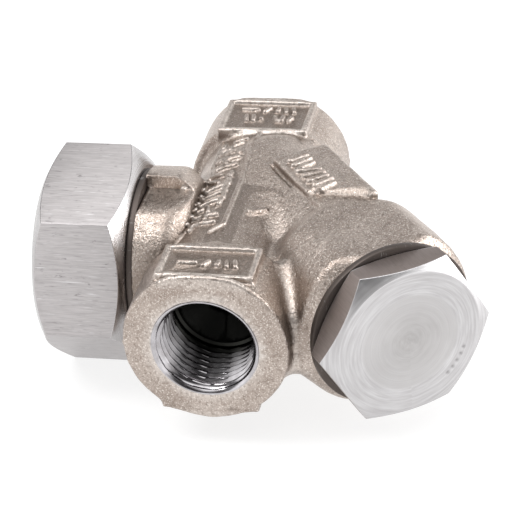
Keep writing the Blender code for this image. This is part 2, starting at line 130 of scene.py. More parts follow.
# Bores of the casting: G 1/2 sockets, M30 x 1.5 neck and M26 x 1.5 collar
SOCKET_DEPTH, SOCKET_CORE, SOCKET_MOUTH, SOCKET_LINER = 17.0, 9.3, 10.45, 10.6
SOCKET_PITCH, SOCKET_THREAD = 1.814, 1.16  # pitch and height of a G 1/2 thread
PASSAGE_RADIUS = 4.0
DRILL_SLOPE = math.tan(math.radians(59))
PAST = 5  # how far a bore is drawn past the face that it opens in
BORE_EDGE = 0.2
CHAMBER_RADIUS, CHAMBER_FLOOR = 15.2, 10.5
SEAT_BORE, SEAT_BORE_START = 5.2, 3.9
DISCHARGE_RADIUS, DISCHARGE_START, DISCHARGE_END = 3.9, -1.5, 6
PORT_RADIUS, PORT_OFFSET = 2.4, 10.2
THROAT_RADIUS, POCKET_RADIUS, POCKET_LEDGE, COLLAR_BORE, COLLAR_FLOOR = 7.8, 10.4, 12, 13.2, 50

# Caps
FINE_PITCH, FINE_THREAD = 1.5, 0.8  # pitch and height of the caps' threads
HEX_SIXTH, HEX_TWELFTH = math.radians(60), math.radians(30)
CHAMFER_SLOPE = math.tan(math.radians(30))
TRAP_FLATS, TRAP_HEX_TURN, TRAP_UNDERSIDE = 41, math.radians(-15.8), 19.6
TRAP_CHAMFER_FOOT, TRAP_PLUG, TRAP_RECESS, TRAP_RECESS_TOP = 18.9, 14.9, 12.6, 34
STRAINER_FLATS, STRAINER_HEX_TURN, STRAINER_UNDERSIDE = 32, math.radians(30), 61.6
STRAINER_FACE_RADIUS, STRAINER_PLUG, STRAINER_RECESS, STRAINER_RECESS_TOP = 15.2, 12.9, 10.2, 57.5


# ---- distances: negative inside a shape, positive outside, in millimetres ----

FAR_OFF = 9.0  # a distance that leaves no mark
ELSEWHERE = 400.0  # a coordinate outside every drawing


def joined(a, b, fillet):
    """Two shapes as one, with a fillet of that radius in the corner between them."""
    near = np.hypot(np.maximum(fillet - a, 0), np.maximum(fillet - b, 0))
    return np.maximum(fillet, np.minimum(a, b)) - near


def without(a, b, fillet):
    """The first shape with the second taken out, its new edge rounded."""
    return -joined(-a, b, fillet)


def common(a, b, fillet):
    """What two shapes share, its new edge rounded."""
    return -joined(-a, -b, fillet)


def drum(along, across, low, high, radius, edge):
    """A cylinder with rounded rims."""
    side = across - (radius - edge)
    end = np.abs(along - (low + high) / 2) - ((high - low) / 2 - edge)
    return np.minimum(np.maximum(side, end), 0) + np.hypot(np.maximum(side, 0), np.maximum(end, 0)) - edge


def cone(along, across, low, radius, slope):
    """The inside of a cone that has one radius at a height and widens by a slope above it."""
    return (across - radius - (along - low) * slope) / math.hypot(1, slope)


def slab(x, y, z, low, high, edge):
    """A box with rounded edges."""
    sides = []
    for value, start, end in zip((x, y, z), low, high):
        sides.append(np.abs(value - (start + end) / 2) - ((end - start) / 2 - edge))
    outside = np.sqrt(sum(np.maximum(side, 0) ** 2 for side in sides))
    return np.minimum(np.maximum(np.maximum(*sides[:2]), sides[2]), 0) + outside - edge


def stroke(x, y, start, end, width):
    """A flat bar with round ends, between two points of a flat drawing."""
    along = np.array(end, float) - start
    share = ((x - start[0]) * along[0] + (y - start[1]) * along[1]) / max(along @ along, 1e-9)
    share = np.clip(share, 0, 1)
    return np.hypot(x - start[0] - share * along[0], y - start[1] - share * along[1]) - width / 2


def strokes(x, y, marks, width):
    """Several bars, each (start x, start y, end x, end y), as one flat drawing."""
    flat = np.full_like(x, FAR_OFF)
    for start_x, start_y, end_x, end_y in marks:
        flat = np.minimum(flat, stroke(x, y, (start_x, start_y), (end_x, end_y), width))
    return flat


def raised(body, flat, rise, soft=0.35):
    """The body with the part under a flat drawing lifted, over a soft edge."""
    share = np.clip(0.5 - flat / soft, 0, 1)
    return body - rise * share * share * (3 - 2 * share)


def lumps(x, y, z, size, seed):
    """Smooth random heights from -1 to 1, in bumps of about that size."""
    across = 32
    lattice = np.random.default_rng(seed).uniform(-1, 1, (across, across, across))
    corners, shares = [], []
    for value in (x / size, y / size, z / size):
        low = np.floor(value).astype(int)
        part = value - low
        corners.append(low)
        shares.append(part * part * (3 - 2 * part))
    total = 0
    for ahead in itertools.product((0, 1), repeat=3):
        weight = 1
        for share, step in zip(shares, ahead):
            weight = weight * (share if step else 1 - share)
        i, j, k = ((corner + step) % across for corner, step in zip(corners, ahead))
        total = total + weight * lattice[i, j, k]
    return total


class Places:
    """Points of space in the casting's three sets of coordinates."""

    def __init__(self, x, y, z):
        self.x, self.y, self.z = x, y, z
        self.flow = np.hypot(y, z)
        self.trap_along, self.trap = -y, np.hypot(x, z)
        offset = x - STRAINER_START
        self.strainer_along = offset * STRAINER_ALONG.x + y * STRAINER_ALONG.y
        self.strainer_side = y * STRAINER_ALONG.x - offset * STRAINER_ALONG.y
        self.strainer = np.hypot(self.strainer_side, z)


PAD_ROWS_END = 12.6  # length of a pad that its rows of marks share
PAD_MARK_WIDTH, PAD_MARK_RISE = 1.0, 0.8
# Plain bars and dots, laid across a pad from side to side, around the middle of their row
OUTLET_ROW = [
    (0, -5.8, 0, -2.6),
    (0.9, -0.9, -0.7, 0.1),
    (0.5, 1.8, 0.5, 1.9),
    (-0.8, 2.0, 0, 2.1),
    (0.9, 3.8, -0.6, 3.6),
    (-0.8, 5.2, 0.9, 5.6),
]
INLET_ROW = [
    (-1, -4.6, 1, -4.2),
    (-1, -3.0, 1, -2.8),
    (0.2, -1.2, 0.2, -1.1),
    (-0.9, 1.8, 0.9, 2.4),
    (-0.9, 3.6, 0.9, 3.4),
    (0.8, 5.0, -0.6, 5.6),
]


def pad_marks(at, ends, rows):
    """The rows of marks on a pad, as one flat drawing."""
    flat = np.full_like(at.x, FAR_OFF)
    for number, row in enumerate(rows):
        middle = ends[0] + PAD_ROWS_END * (number + 1) / (len(rows) + 1)
        flat = np.minimum(flat, strokes(at.x - middle, at.y, row, PAD_MARK_WIDTH))
    return flat


def add_pad(body, at, up, ends, plate_end, cut_end, rows):
    """A flat pad above or below the boss, squared off, with a raised border and marks. The boss is cut down
    from a little behind the pad to where the cut ends."""
    start, end = ends
    top = PAD_HEIGHT + PAD_RISE
    height = up * at.z
    plate = slab(at.x, at.y, height, (start, -PAD_HALF_WIDTH, 0), (plate_end, PAD_HALF_WIDTH, top), 0.45)
    body = joined(body, plate, 0.6)
    clear = PAD_HALF_WIDTH + 3
    inner = PAD_HALF_WIDTH - PAD_BORDER
    cuts = (
        (start - PAD_BACK, clear, top, cut_end, 0.4),
        (plate_end, clear, PAD_HEIGHT - PAD_GROOVE, cut_end, 0.3),
        (start + PAD_BORDER, inner, PAD_HEIGHT, end - PAD_BORDER, 0.3),
    )
    for cut_start, half_width, floor, cut_to, fillet in cuts:
        low, high = (cut_start, -half_width, floor), (cut_to, half_width, 2 * top)
        body = without(body, slab(at.x, at.y, height, low, high, 0.2), fillet)
    flat = np.where(np.abs(height - PAD_HEIGHT) < 1.5, pad_marks(at, ends, rows), FAR_OFF)
    return raised(body, flat, PAD_MARK_RISE)


# The long panel on the barrel, drawn along the flow axis and around the barrel from its crest
BARREL_SKIN = 1.4  # how far from the barrel's own radius a point still takes the drawing
PANEL_START, PANEL_END = -28.5, 13.5
PANEL_MARKS, PANEL_MARK_WIDTH, PANEL_MARK_RISE = 13, 1.1, 0.75
PANEL_MARGIN, PANEL_SPARE = 2.5, 6.5  # left free before the first bar, and in all
PANEL_BORDER_WIDTH, PANEL_BORDER_RISE = 0.9, 0.55
PANEL_BORDER = [
    (PANEL_START, 0.1, PANEL_END - 3, 0.1),
    (PANEL_END - 3, 0.1, PANEL_END, 2.4),
    (PANEL_START, 9.0, PANEL_START + 19, 8.2),
]
BAR_REACHES = ((2.4, 7.4), (2.4, 7.2), (2.4, 4.8), (4.9, 7.4))
BAR_ARMS = (2.6, 4.9, 7.2)  # where a short arm leaves a bar
BAR_LEAN, ARM_LENGTH, ARM_SLANT = 0.8, 1.5, 0.4


def panel_drawing(at):
    """The long panel beside the barrel's crest: thin border lines, and leaning bars between them."""
    on_barrel = (at.z > 3) & (np.abs(at.flow - BARREL_RADIUS) < BARREL_SKIN)
    beside_neck = at.trap_along < NECK_START + 0.8
    around = np.where(on_barrel & beside_neck, np.arctan2(-at.y, at.z) * BARREL_RADIUS, ELSEWHERE)
    draw = random.Random(5)
    marks = []
    for place in range(PANEL_MARKS):
        share = (PANEL_END - PANEL_START - PANEL_SPARE) * place / (PANEL_MARKS - 1)
        middle = PANEL_START + PANEL_MARGIN + share
        lean = draw.uniform(-BAR_LEAN, BAR_LEAN)
        low, high = draw.choice(BAR_REACHES)
        marks.append((middle - lean, low, middle + lean, high))
        side = draw.choice(BAR_ARMS)
        marks.append((middle, side, middle + ARM_LENGTH, side + draw.uniform(-ARM_SLANT, ARM_SLANT)))
    border = strokes(at.x, around, PANEL_BORDER, PANEL_BORDER_WIDTH)
    return border, strokes(at.x, around, marks, PANEL_MARK_WIDTH)


PLATEAU = ((14.5, -3.6, 8.0), (39.0, 9.0, 16.7))  # along the branch, to its side, and up
PLATEAU_MARKS, PLATEAU_FIRST, PLATEAU_STEP = 8, 18.2, 2.0  # count of bars, place of the first, and spacing
PLATEAU_MARK_REACH, PLATEAU_MARK_WIDTH, PLATEAU_MARK_RISE = 2.1, 1.15, 0.8
PLATEAU_MARK_SIDE, PLATEAU_MARK_SHIFT, PLATEAU_MARK_LEAN = 0.6, 0.3, 0.7
PLATEAU_GROOVE_WIDTH, PLATEAU_GROOVE_DEPTH = 0.7, 0.45


def strainer_plateau(at):
    """The raised flat on the strainer branch, and the bars on it."""
    along = np.where(at.z > 0, at.strainer_along, ELSEWHERE)
    plate = slab(along, at.strainer_side, at.z, *PLATEAU, 0.7)
    draw = random.Random(8)
    marks = []
    for place in range(PLATEAU_MARKS):
        middle = PLATEAU_FIRST + PLATEAU_STEP * place
        lean = draw.uniform(-PLATEAU_MARK_LEAN, PLATEAU_MARK_LEAN)
        side = PLATEAU_MARK_SIDE + draw.uniform(-PLATEAU_MARK_SHIFT, PLATEAU_MARK_SHIFT)
        marks.append((middle - lean, side - PLATEAU_MARK_REACH, middle + lean, side + PLATEAU_MARK_REACH))
    (start, side, _), (end, _, _) = PLATEAU
    groove_ends = (start + 1, side - 0.3), (end - 14, side - 0.3)
    groove = stroke(along, at.strainer_side, *groove_ends, PLATEAU_GROOVE_WIDTH)
    return plate, strokes(along, at.strainer_side, marks, PLATEAU_MARK_WIDTH), groove


GATE_START, GATE_END, GATE_WIDTH, GATE_RISE = (2.2, 6.7), (4.6, 4.2), 1.3, 0.8


def gate_mark(at):
    """The short ridge left on the barrel's crest where the metal ran in."""
    crest = np.where(at.z > 8, at.x, ELSEWHERE)
    return stroke(crest, at.y, GATE_START, GATE_END, GATE_WIDTH)


def collar_shape(at):
    """The collar that holds the strainer cap: a sloping start, a cylinder and a bevelled face."""
    collar = drum(at.strainer_along, at.strainer, COLLAR_START, COLLAR_FACE, COLLAR_RADIUS, 0.4)
    bevel = cone(at.strainer_along, at.strainer, COLLAR_FACE, COLLAR_RADIUS - COLLAR_BEVEL, -1)
    start = cone(at.strainer_along, at.strainer, COLLAR_START, BRANCH_RADIUS - 0.8, 1)
    return common(common(collar, bevel, 0.5), start, 1.2)


def neck_shape(at):
    """The drum around the trap chamber, chamfered where it stands over the barrel."""
    neck = drum(at.trap_along, at.trap, NECK_START, NECK_FACE + 4, NECK_RADIUS, 0.3)
    chamfer = cone(at.trap_along, at.trap, NECK_START, NECK_RADIUS - NECK_CHAMFER, 1)
    return np.maximum(common(neck, chamfer, 0.9), at.trap_along - NECK_FACE)


def casting_outside(at):
    """The cast skin, without its bores."""
    body = drum(at.x, at.flow, INLET_FACE + 1, OUTLET_FACE - 1, BARREL_RADIUS, 1)
    branch = drum(at.strainer_along, at.strainer, 2, COLLAR_FACE - 4, BRANCH_RADIUS, 3)
    crotch = np.interp(at.z, CROTCH_HEIGHTS, CROTCH_FILLETS)
    body = joined(body, branch, crotch)
    for low, high in ((OUTLET_FACE - BOSS_LENGTH, OUTLET_FACE), (INLET_FACE, INLET_FACE + BOSS_LENGTH)):
        body = joined(body, drum(at.x, at.flow, low, high, BOSS_RADIUS, 1.0), BOSS_FILLET)
    body = joined(body, collar_shape(at), np.minimum(crotch, COLLAR_FILLET))
    body = joined(body, neck_shape(at), NECK_FILLET)
    plate, marks, groove = strainer_plateau(at)
    body = raised(joined(body, plate, 0.5), marks, PLATEAU_MARK_RISE)
    body = raised(body, groove, -PLATEAU_GROOVE_DEPTH)
    border, marks = panel_drawing(at)
    body = raised(raised(body, border, PANEL_BORDER_RISE), marks, PANEL_MARK_RISE)
    body = raised(body, gate_mark(at), GATE_RISE, soft=0.8)
    for up, plate_end in ((1, OUTLET_PAD[1]), (-1, OUTLET_PLATE_BELOW)):
        body = add_pad(body, at, up, OUTLET_PAD, plate_end, OUTLET_LIP, [OUTLET_ROW])
        body = add_pad(body, at, up, INLET_PAD, INLET_PAD[1], INLET_PAD[1], [OUTLET_ROW, INLET_ROW])
    body = common(body, np.where(at.x > 0, at.z - OUTLET_CROWN, -FAR_OFF), 0.8)
    body = common(body, at.x - OUTLET_FACE, FACE_ROUND)
    parting_line = PARTING_RISE * np.exp(-((at.z / PARTING_WIDTH) ** 2))
    return body - parting_line


def casting_bores(at):
    """Everything that is drilled or cored out of the casting."""
    bores = drum(at.x, at.flow, 0, OUTLET_FACE - PAST, PASSAGE_RADIUS, BORE_EDGE)
    for along, face in ((at.x, OUTLET_FACE), (-at.x, -INLET_FACE)):
        bottom = face - SOCKET_DEPTH
        liner = drum(along, at.flow, bottom + 0.4, face + PAST, SOCKET_LINER, 0.05)
        point = (SOCKET_CORE - PASSAGE_RADIUS) / DRILL_SLOPE
        drill = np.maximum(
            drum(along, at.flow, bottom - point, face + PAST, SOCKET_CORE, 0.05),
            cone(along, at.flow, bottom - point, PASSAGE_RADIUS, DRILL_SLOPE),
        )
        bores = np.minimum(bores, np.minimum(liner, drill))
    strainer = (
        (0, POCKET_LEDGE + 4, THROAT_RADIUS),
        (POCKET_LEDGE, COLLAR_FACE, POCKET_RADIUS),
        (COLLAR_FLOOR, COLLAR_FACE + PAST, COLLAR_BORE),
    )
    for low, high, radius in strainer:
        bores = np.minimum(bores, drum(at.strainer_along, at.strainer, low, high, radius, BORE_EDGE))
    trap = (
        (CHAMBER_FLOOR, NECK_FACE + PAST, CHAMBER_RADIUS),
        (SEAT_BORE_START, CHAMBER_FLOOR + 2, SEAT_BORE),
        (DISCHARGE_START, DISCHARGE_END, DISCHARGE_RADIUS),
    )
    for low, high, radius in trap:
        bores = np.minimum(bores, drum(at.trap_along, at.trap, low, high, radius, BORE_EDGE))
    port = np.hypot(at.x + PORT_OFFSET, at.z)
    return np.minimum(bores, drum(at.trap_along, port, -CHAMBER_FLOOR, CHAMBER_FLOOR + 1, PORT_RADIUS, 0.1))


def casting(x, y, z):
    """The whole casting, in millimetres from the datum."""
    at = Places(x, y, z)
    return without(casting_outside(at), casting_bores(at), 0.3)


# ---- meshes ----


def mesh_object(name, points, faces, place):
    """A smooth object from points in millimetres and faces."""
    mesh = bpy.data.meshes.new(name)
    mesh.from_pydata([tuple(point) for point in np.asarray(points) * MM], [], [tuple(face) for face in faces])
    mesh.validate()
    mesh.shade_smooth()
    thing = bpy.data.objects.new(name, mesh)
    bpy.context.scene.collection.objects.link(thing)
    thing.matrix_world = place
    return thing


def surface_of(distance, low, high, step):
    """Points and quads on a shape's surface, from its distance on a grid, pulled exactly onto the surface."""
    axes = [np.arange(a, b + step, step, dtype=np.float32) for a, b in zip(low, high)]
    values = np.empty([len(axis) for axis in axes], np.float32)
    y, z = np.meshgrid(axes[1], axes[2], indexing="ij")
    for index, x in enumerate(axes[0]):
        values[index] = distance(np.full_like(y, x), y, z)
    grid = openvdb.FloatGrid(float(4 * step))
    grid.copyFromArray(np.clip(values, -3 * step, 3 * step))
    points, quads = grid.convertToQuads()
    points = points.astype(np.float64) * step + np.array(low)
    for _ in range(3):
        here, slope = slope_of(distance, points)
        length = np.linalg.norm(slope, axis=1, keepdims=True)
        points = points - np.clip(here[:, None], -0.3, 0.3) * slope / np.maximum(length, 0.3) ** 2
    return points, quads[:, ::-1]


def slope_of(distance, points, reach=0.02):
    """A shape's distance at some points, and the direction in which it grows there."""
    slope = np.empty_like(points)
    for side in range(3):
        step = np.zeros(3)
        step[side] = reach
        slope[:, side] = (distance(*(points + step).T) - distance(*(points - step).T)) / (2 * reach)
    return distance(*points.T), slope


def thin_out(thing, triangles):
    """Fewer triangles, taken away where the surface is flattest."""
    now = sum(len(face.vertices) - 2 for face in thing.data.polygons)
    lighter = thing.modifiers.new("lighter", "DECIMATE")
    lighter.ratio = min(1, triangles / now)
    graph = bpy.context.evaluated_depsgraph_get()
    mesh = bpy.data.meshes.new_from_object(thing.evaluated_get(graph))
    thing.modifiers.clear()
    thing.data = mesh
    mesh.shade_smooth()


def roughen(thing):
    """Uneven as-cast skin and, for the material, how far each point lies in a bore, in a crease or on an
    edge."""
    mesh = thing.data
    flat = np.empty(len(mesh.vertices) * 3, np.float32)
    mesh.vertices.foreach_get("co", flat)
    points = flat.reshape(-1, 3).astype(np.float64) / MM
    at = Places(*points.T)
    from_bore = casting_bores(at)
    depth = np.minimum(OUTLET_FACE - at.x, at.x - INLET_FACE)
    bore = np.clip(1 - from_bore / 0.4, 0, 1)
    slope = slope_of(casting, points)[1]
    slope /= np.maximum(np.linalg.norm(slope, axis=1, keepdims=True), 1e-6)
    openness = casting(*(points + CREASE_REACH * slope).T) / CREASE_REACH
    thickness = -casting(*(points - EDGE_REACH * slope).T) / EDGE_REACH
    pad_floor = np.abs(np.abs(at.z) - PAD_HEIGHT) < 0.15
    recessed = pad_floor & (np.abs(at.y) < PAD_HALF_WIDTH) & (at.flow > PAD_HEIGHT)
    # painted shade: the crease value darkens creases and pad floors in the material, as occlusion would
    store(thing, "crease", np.clip(CREASE_GAIN * (OPEN_SHARE - openness), RECESS_SHADE * recessed, 1))
    outer_edge = at.trap_along < NECK_FACE - EDGE_REACH  # the neck's rim lies hidden under the cap
    # painted highlight: the edge value brightens convex edges and raised marks in the material
    store(thing, "edge", outer_edge * np.clip(EDGE_GAIN * (THICK_SHARE - thickness), 0, 1))
    uneven = sum(rise * lumps(*points.T, size, seed) for seed, (rise, size) in enumerate(SKIN_LUMPS, 1))
    points += slope * (uneven * (1 - bore))[:, None]
    mesh.vertices.foreach_set("co", (points * MM).astype(np.float32).ravel())
    store(thing, "machined", bore)
    store(thing, "shade", bore * np.clip(depth / SOCKET_GLOOM, 0, 1))
    mesh.update()


def store(thing, name, values):
    """Keeps a number for each point, which a material reads."""
    layer = thing.data.attributes.new(name, "FLOAT", "POINT")
    layer.data.foreach_set("value", np.asarray(values, np.float32))


def softened(outline, cut, closed=False):
    """An outline with each corner replaced by a short curve that starts a given length before it."""
    ring = [np.array(point, float) for point in outline]
    corners = list(zip(ring[-1:] + ring[:-1], ring, ring[1:] + ring[:1]))
    soft = [] if closed else [tuple(ring[0])]
    for before, corner, after in corners if closed else corners[1:-1]:
        ends = []
        for other in (before, after):
            length = np.linalg.norm(other - corner)
            ends.append(corner + (other - corner) * min(cut / max(length, 1e-9), 0.45))
        soft += [tuple(ends[0]), tuple((ends[0] + 2 * corner + ends[1]) / 4), tuple(ends[1])]
    return soft if closed else soft + [tuple(ring[-1])]


def spun(name, columns, place):
    """A closed skin about local Z from (turn, outline) columns. Each outline is a list of (radius, height).
    One that starts on the axis also ends there, and any other is closed into a ring."""
    on_axis = columns[0][1][0][0] == 0
    rows = len(columns[0][1])
    points, faces = [], []
    for number, (turn, outline) in enumerate(columns):
        points += [(radius * math.cos(turn), radius * math.sin(turn), height) for radius, height in outline]
        here, after = number * rows, (number + 1) % len(columns) * rows
        for row in range(rows - 1 if on_axis else rows):
            above = (row + 1) % rows
            faces.append((here + row, after + row, after + above, here + above))
    thing = mesh_object(name, points, faces, place)
    shape = bmesh.new()
    shape.from_mesh(thing.data)
    bmesh.ops.remove_doubles(shape, verts=shape.verts, dist=0.0005 * MM)
    bmesh.ops.recalc_face_normals(shape, faces=shape.faces)
    shape.to_mesh(thing.data)
    shape.free()
    thing.data.shade_smooth()
    thing.data.set_sharp_from_angle(angle=math.radians(35))
    return thing


def round_turns(count):
    """Evenly spaced angles around a full turn."""
    return [math.tau * number / count for number in range(count)]


def hexagon_columns(flats, first_corner, across=44, corner_round=0.15):
    """(turn, reach) pairs around a hexagon with slightly rounded corners, denser at the corners."""
    half = flats / 2
    centre = (half - corner_round) / math.cos(HEX_TWELFTH)
    arc_end = HEX_TWELFTH - math.atan((half - corner_round) * math.tan(HEX_TWELFTH) / half)
    arc_steps = 3
    pairs = []
    for side in range(6):
        corner = first_corner + HEX_SIXTH * side
        for step in range(-arc_steps, arc_steps):
            away = arc_end * step / arc_steps
            reach = centre * math.cos(away) + math.sqrt(corner_round**2 - (centre * math.sin(away)) ** 2)
            pairs.append((corner + away, reach))
        for step in range(across):
            away = arc_end + (HEX_SIXTH - 2 * arc_end) * step / across
            pairs.append((corner + away, half / math.cos(away - HEX_TWELFTH)))
    return pairs


THREAD_FLAT = 1.3  # how far the thread's zigzag is stretched before its crests and roots are cut flat
THREAD_FADE = 8  # the thread fades out over one part in so many of its length at each end


def thread(turn, low, high, pitch, radius, height, spacing=0.25):
    """Rows of a right-hand thread's outline in one direction."""
    rows = []
    count = round(abs(high - low) / spacing)
    for number in range(count + 1):
        share = number / count
        z = low + (high - low) * share
        phase = (z / pitch - turn / math.tau) % 1
        wave = max(-1, min(1, THREAD_FLAT * (4 * abs(phase - 0.5) - 1)))
        fade = min(1, THREAD_FADE * share, THREAD_FADE * (1 - share))
        rows.append((radius - height * (1 - wave * fade) / 2, z))
    return rows


# ---- pieces ----


def stand_for(thing, node, looks):
    """The piece takes a CAD node's place, body and finish. The first look is for its sides, the last for its
    faces, which are square to local Z."""
    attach(thing, BODY_OF[node])
    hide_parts(node)
    for look in looks:
        thing.data.materials.append(look)
    if len(looks) > 1:
        for face in thing.data.polygons:
            face.material_index = int(abs(face.normal.z) > 0.2)


def make_casting(look):
    """The cast body, in place of the CAD's."""
    low = (INLET_FACE - 1, -NECK_FACE - 1, -NECK_RADIUS - 1)
    high = (OUTLET_FACE + 2, (COLLAR_FACE + 4) * STRAINER_ALONG.y + COLLAR_RADIUS, NECK_RADIUS + 1)
    points, quads = surface_of(casting, low, high, CAST_VOXEL)
    thing = mesh_object("casting", points, quads, Matrix.Translation(DATUM))
    thin_out(thing, CAST_TRIANGLES)
    roughen(thing)
    stand_for(thing, "body", [look])


def make_socket_thread(name, look, along, face):
    """The threaded lining of a socket: a turned mouth, a G 1/2 helix and the wall hidden in the casting."""
    wall = SOCKET_LINER + 0.1
    bottom = face - SOCKET_DEPTH
    root = SOCKET_CORE + SOCKET_THREAD
    columns = []
    for turn in round_turns(160):
        helix = thread(turn, face - 0.3, bottom + 0.6, SOCKET_PITCH, root, SOCKET_THREAD, spacing=0.14)
        helix = [(max(radius, SOCKET_MOUTH - (face - z)), z) for radius, z in helix]
        front = [(wall, face - 0.05), (SOCKET_MOUTH + 0.06, face - 0.05), (SOCKET_MOUTH - 0.05, face - 0.12)]
        columns.append((turn, [(wall, bottom + 0.3), *front, *helix, (SOCKET_CORE, bottom + 0.3)]))
    thing = spun(name, columns, axis_frame(DATUM, along, UP))
    depth = [face - vertex.co.z / MM for vertex in thing.data.vertices]
    store(thing, "shade", np.clip((np.array(depth) - THREAD_LIT) / THREAD_GLOOM, 0, 1))
    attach(thing, "casting")
    thing.data.materials.append(look)


def plug_outline(turn, recess, recess_top, plug, end, underside):
    """A cap's hollow threaded plug in one direction, from the middle of its recess to below the head."""
    foot = [
        (0, recess_top),
        (recess, recess_top),
        (recess, end),
        (plug - FINE_THREAD, end),
        (plug - FINE_THREAD, end + 0.3),
    ]
    return softened(foot, 0.15) + thread(turn, end + 0.4, underside - 0.8, FINE_PITCH, plug, FINE_THREAD)


def make_trap_cap(looks):
    """A hexagon cap, chamfered at both ends, with a threaded hollow plug."""
    columns = []
    plug_sizes = TRAP_RECESS, TRAP_RECESS_TOP, TRAP_PLUG, TRAP_PLUG_END, TRAP_UNDERSIDE
    for turn, reach in hexagon_columns(TRAP_FLATS, TRAP_HEX_TURN):
        chamfer = (reach - TRAP_CHAMFER_FOOT) * CHAMFER_SLOPE
        head = [
            (TRAP_PLUG - FINE_THREAD, TRAP_UNDERSIDE - 0.6),
            (TRAP_PLUG - FINE_THREAD, TRAP_UNDERSIDE),
            (TRAP_CHAMFER_FOOT, TRAP_UNDERSIDE),
            (reach, TRAP_UNDERSIDE + chamfer),
            (reach, TRAP_CAP_FACE - chamfer),
            (TRAP_CHAMFER_FOOT, TRAP_CAP_FACE),
            (0, TRAP_CAP_FACE),
        ]
        columns.append((turn, plug_outline(turn, *plug_sizes) + softened(head, 0.15)))
    stand_for(spun("trap_cap_machined", columns, TRAP_AXIS), "trap_cap", looks)


FACE_DISC, FACE_STEP = 10.4, 0.1  # radius of the sunk disc on the strainer cap's face, and its depth
DIMPLE_RADIUS, DIMPLE_DEPTH = 2.4, 0.45
DENT_RADIUS, DENT_DEPTH = 0.6, 0.2
DENT_PLACES = [(12.6, math.radians(turn)) for turn in (-140, -133, -126, -119, -112)]


def dent(radius, turn):
    """How deep a point of the face lies in a punched dot, from 0 to 1."""
    deepest = 0
    for dent_radius, dent_turn in DENT_PLACES:
        x = radius * math.cos(turn) - dent_radius * math.cos(dent_turn)
        y = radius * math.sin(turn) - dent_radius * math.sin(dent_turn)
        deepest = max(deepest, 1 - math.hypot(x, y) / DENT_RADIUS)
    return deepest


def strainer_face(radius, turn):
    """Height of the strainer cap's face over its rim: a sunk disc, a dimple and a row of punched dots."""
    step = max(0, min(1, (FACE_DISC + 0.3 - radius) / 0.6))
    dimple = max(0, 1 - radius / DIMPLE_RADIUS)
    return -FACE_STEP * step - DIMPLE_DEPTH * dimple - DENT_DEPTH * dent(radius, turn)


def make_strainer_cap(looks):
    """A lower hexagon cap with a threaded hollow plug and a turned face."""
    columns = []
    plug_sizes = STRAINER_RECESS, STRAINER_RECESS_TOP, STRAINER_PLUG, STRAINER_PLUG_END, STRAINER_UNDERSIDE
    for turn, reach in hexagon_columns(STRAINER_FLATS, STRAINER_HEX_TURN, across=54):
        chamfer = (reach - STRAINER_FACE_RADIUS) * CHAMFER_SLOPE
        head = [
            (STRAINER_PLUG - FINE_THREAD, STRAINER_UNDERSIDE - 0.6),
            (STRAINER_PLUG - FINE_THREAD, STRAINER_UNDERSIDE),
            (STRAINER_FACE_RADIUS, STRAINER_UNDERSIDE),
            (reach, STRAINER_UNDERSIDE + chamfer * 0.8),
            (reach, STRAINER_CAP_FACE - chamfer),
            (STRAINER_FACE_RADIUS, STRAINER_CAP_FACE),
            (STRAINER_FACE_RADIUS - 0.4, STRAINER_CAP_FACE),
        ]
        radii = [*np.arange(STRAINER_FACE_RADIUS - 0.6, 0.1, -0.2), 0]
        face = [(radius, STRAINER_CAP_FACE + strainer_face(radius, turn)) for radius in radii]
        columns.append((turn, plug_outline(turn, *plug_sizes) + softened(head, 0.12) + face))
    thing = spun("strainer_cap_machined", columns, STRAINER_AXIS)
    # painted shade: how deep each point lies in a punched dot, which the material darkens
    spots = []
    for vertex in thing.data.vertices:
        x, y, height = vertex.co / MM
        on_face = height > STRAINER_CAP_FACE - 2 * DENT_DEPTH
        spots.append(dent(math.hypot(x, y), math.atan2(y, x)) if on_face else 0)
    store(thing, "dent_shade", spots)
    stand_for(thing, "strainer_cap", looks)


def make_ring(node, place, look, cut, swell=0.0):
    """A flat ring with softened edges, with the size of its CAD node or thicker where it is squeezed."""
    low, high, inner, outer = reach_of(node, place)
    low, high = low - swell, high + swell
    outline = softened([(inner, low), (outer, low), (outer, high), (inner, high)], cut, closed=True)
    columns = [(turn, outline) for turn in round_turns(96)]
    stand_for(spun(f"{node}_ring", columns, place), node, [look])


# ---- materials ----


